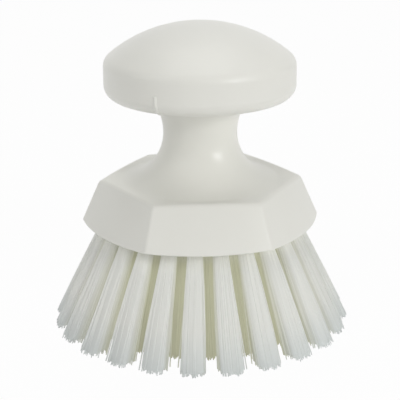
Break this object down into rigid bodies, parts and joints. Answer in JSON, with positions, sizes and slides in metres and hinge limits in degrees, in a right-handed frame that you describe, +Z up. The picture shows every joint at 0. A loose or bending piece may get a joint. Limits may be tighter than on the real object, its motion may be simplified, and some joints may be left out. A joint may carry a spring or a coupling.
{
  "type": "hand scrub brush",
  "caption": "Round hand scrub brush: domed palm knob on a waisted neck over a six-sided block with splayed bristle tufts, gripped from above for scrubbing.",
  "frame": {"origin": "on the brush's axis, on the plane of the trimmed bristle tips that it stands on", "axes": "+Z up the axis through block, neck and knob; -Y out of the middle of one facet"},
  "size_m": [0.111, 0.111, 0.112],
  "materials": {
    "body_plastic": "satin off-white moulded polypropylene",
    "bristle_filament": "white translucent polyester filament",
    "anchor_steel": "plain stainless strip"
  },
  "bodies": {
    "root": {"brush_body": "body_plastic", "outer_bristle_ring": "bristle_filament", "second_bristle_ring": "bristle_filament", "third_bristle_ring": "bristle_filament", "inner_bristle_ring": "bristle_filament", "outer_anchor_01": "anchor_steel", "outer_anchor_02": "anchor_steel", "outer_anchor_03": "anchor_steel", "outer_anchor_04": "anchor_steel", "outer_anchor_05": "anchor_steel", "outer_anchor_06": "anchor_steel", "outer_anchor_07": "anchor_steel", "outer_anchor_08": "anchor_steel", "outer_anchor_09": "anchor_steel", "outer_anchor_10": "anchor_steel", "outer_anchor_11": "anchor_steel", "outer_anchor_12": "anchor_steel", "outer_anchor_13": "anchor_steel", "outer_anchor_14": "anchor_steel", "outer_anchor_15": "anchor_steel", "outer_anchor_16": "anchor_steel", "outer_anchor_17": "anchor_steel", "outer_anchor_18": "anchor_steel", "outer_anchor_19": "anchor_steel", "outer_anchor_20": "anchor_steel", "outer_anchor_21": "anchor_steel", "outer_anchor_22": "anchor_steel", "outer_anchor_23": "anchor_steel", "outer_anchor_24": "anchor_steel", "second_anchor_01": "anchor_steel", "second_anchor_02": "anchor_steel", "second_anchor_03": "anchor_steel", "second_anchor_04": "anchor_steel", "second_anchor_05": "anchor_steel", "second_anchor_06": "anchor_steel", "second_anchor_07": "anchor_steel", "second_anchor_08": "anchor_steel", "second_anchor_09": "anchor_steel", "second_anchor_10": "anchor_steel", "second_anchor_11": "anchor_steel", "second_anchor_12": "anchor_steel", "second_anchor_13": "anchor_steel", "second_anchor_14": "anchor_steel", "second_anchor_15": "anchor_steel", "second_anchor_16": "anchor_steel", "second_anchor_17": "anchor_steel", "second_anchor_18": "anchor_steel", "second_anchor_19": "anchor_steel", "second_anchor_20": "anchor_steel", "third_anchor_01": "anchor_steel", "third_anchor_02": "anchor_steel", "third_anchor_03": "anchor_steel", "third_anchor_04": "anchor_steel", "third_anchor_05": "anchor_steel", "third_anchor_06": "anchor_steel", "third_anchor_07": "anchor_steel", "third_anchor_08": "anchor_steel", "inner_anchor_01": "anchor_steel", "inner_anchor_02": "anchor_steel", "inner_anchor_03": "anchor_steel"}
  },
  "joints": []
}
